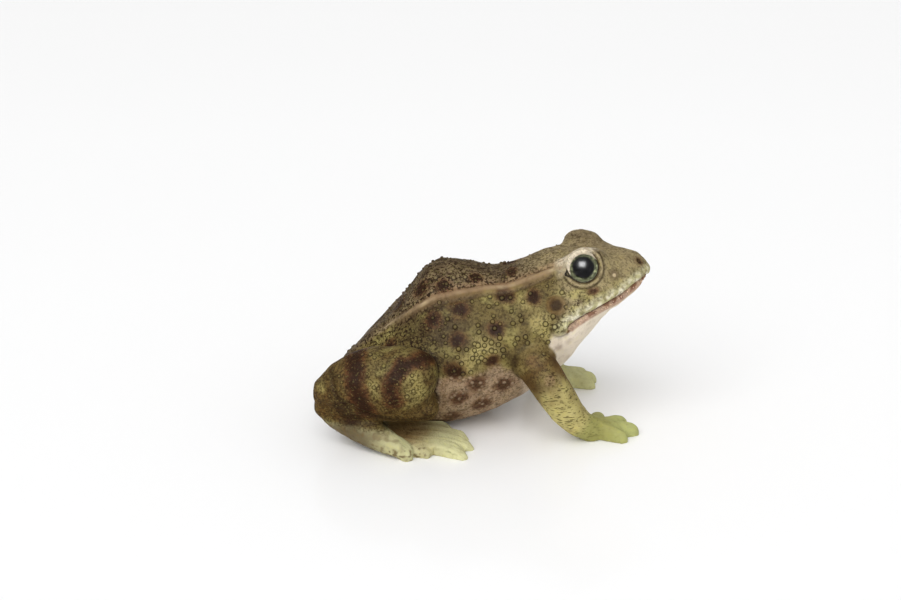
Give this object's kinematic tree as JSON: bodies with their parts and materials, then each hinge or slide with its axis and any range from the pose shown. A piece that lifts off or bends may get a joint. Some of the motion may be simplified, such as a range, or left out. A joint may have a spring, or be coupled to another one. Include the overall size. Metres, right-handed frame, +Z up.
{
  "type": "frog figurine",
  "caption": "Painted cast-resin frog sitting on webbed feet, its limbs pinned to a hollow body, with glass dome eyes and a plugged pour hole in the belly.",
  "frame": {"origin": "centre of the overall box in plan, on the ground plane that the soles rest on", "axes": "+X from rump to snout, +Y to the frog's left, +Z up"},
  "size_m": [0.137, 0.1024, 0.0766],
  "materials": {
    "painted_skin": "satin hand-painted cast resin",
    "dowel_steel": "plain steel pin",
    "eye_glass": "polished clear glass dome",
    "eye_iris": "gloss paint",
    "plug_rubber": "matt rubber"
  },
  "bodies": {
    "root": {"body_shell": "painted_skin", "right_foreleg": "painted_skin", "left_foreleg": "painted_skin", "right_hind_leg": "painted_skin", "left_hind_leg": "painted_skin", "right_shoulder_dowel": "dowel_steel", "left_shoulder_dowel": "dowel_steel", "right_hip_dowel": "dowel_steel", "left_hip_dowel": "dowel_steel", "right_eye_lens": "eye_glass", "left_eye_lens": "eye_glass", "right_eye_iris": "eye_iris", "left_eye_iris": "eye_iris", "pour_hole_plug": "plug_rubber"}
  },
  "joints": []
}
